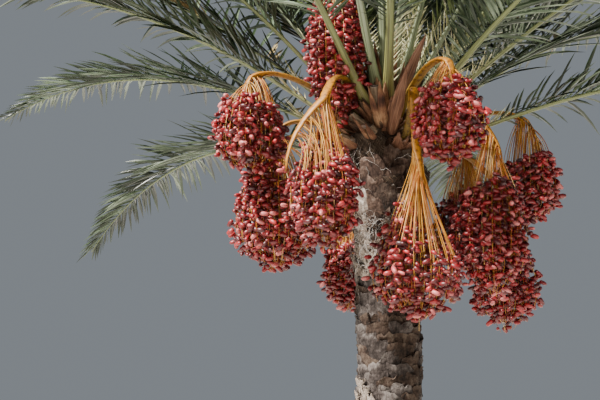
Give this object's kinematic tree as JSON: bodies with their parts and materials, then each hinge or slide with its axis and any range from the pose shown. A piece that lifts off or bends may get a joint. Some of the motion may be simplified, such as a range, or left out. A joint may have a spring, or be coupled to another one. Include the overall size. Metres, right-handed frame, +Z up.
{
  "type": "date palm tree",
  "caption": "Whole date palm in fruit: flared trunk clad in trimmed leaf bases, a crown of arching feather fronds, and hanging bunches of red dates on long stalks.",
  "frame": {"origin": "on the ground, at the centre of the flat cut under the trunk", "axes": "+Z up along the trunk; -Y is the side that the picture was taken from, +X is to its right"},
  "size_m": [6.2265, 5.7685, 7.0985],
  "materials": {
    "bark": "rough grey-brown trimmed leaf bases with dry fibre between them",
    "leaf": "matt grey-green leaflets and leaf stalks with a pale waxy bloom",
    "young_leaf": "pale green furled leaf, satin",
    "dates": "smooth satin red skin on golden orange strands and stalk",
    "dry_sheath": "dry reddish brown woody sheath, matt"
  },
  "bodies": {
    "root": {"trunk": "bark", "spear_leaf": "young_leaf", "spathe_front": "dry_sheath", "spathe_right": "dry_sheath", "spathe_back": "dry_sheath", "bunch_left_high": "dates", "bunch_left_low": "dates", "bunch_left_front": "dates", "bunch_heart": "dates", "bunch_front_high": "dates", "bunch_front_low": "dates", "bunch_right_front": "dates", "bunch_right_high": "dates", "bunch_right_low": "dates", "bunch_back_right": "dates", "bunch_back": "dates", "bunch_back_low": "dates", "bunch_back_left": "dates", "bunch_left_back": "dates", "frond_04": "leaf", "frond_05": "leaf", "frond_06": "leaf", "frond_07": "leaf", "frond_08": "leaf", "frond_09": "leaf", "frond_10": "leaf", "frond_11": "leaf", "frond_13": "leaf", "frond_14": "leaf", "frond_15": "leaf", "frond_16": "leaf", "frond_18": "leaf", "frond_19": "leaf", "frond_20": "leaf", "frond_21": "leaf", "frond_22": "leaf", "frond_24": "leaf", "frond_26": "leaf", "frond_27": "leaf", "frond_28": "leaf", "frond_29": "leaf", "frond_30": "leaf", "frond_31": "leaf", "frond_33": "leaf", "frond_34": "leaf", "frond_35": "leaf", "frond_37": "leaf", "frond_39": "leaf", "frond_42": "leaf", "frond_43": "leaf", "frond_44": "leaf", "frond_48": "leaf", "frond_58": "leaf", "frond_60": "leaf", "frond_61": "leaf"}
  },
  "joints": []
}
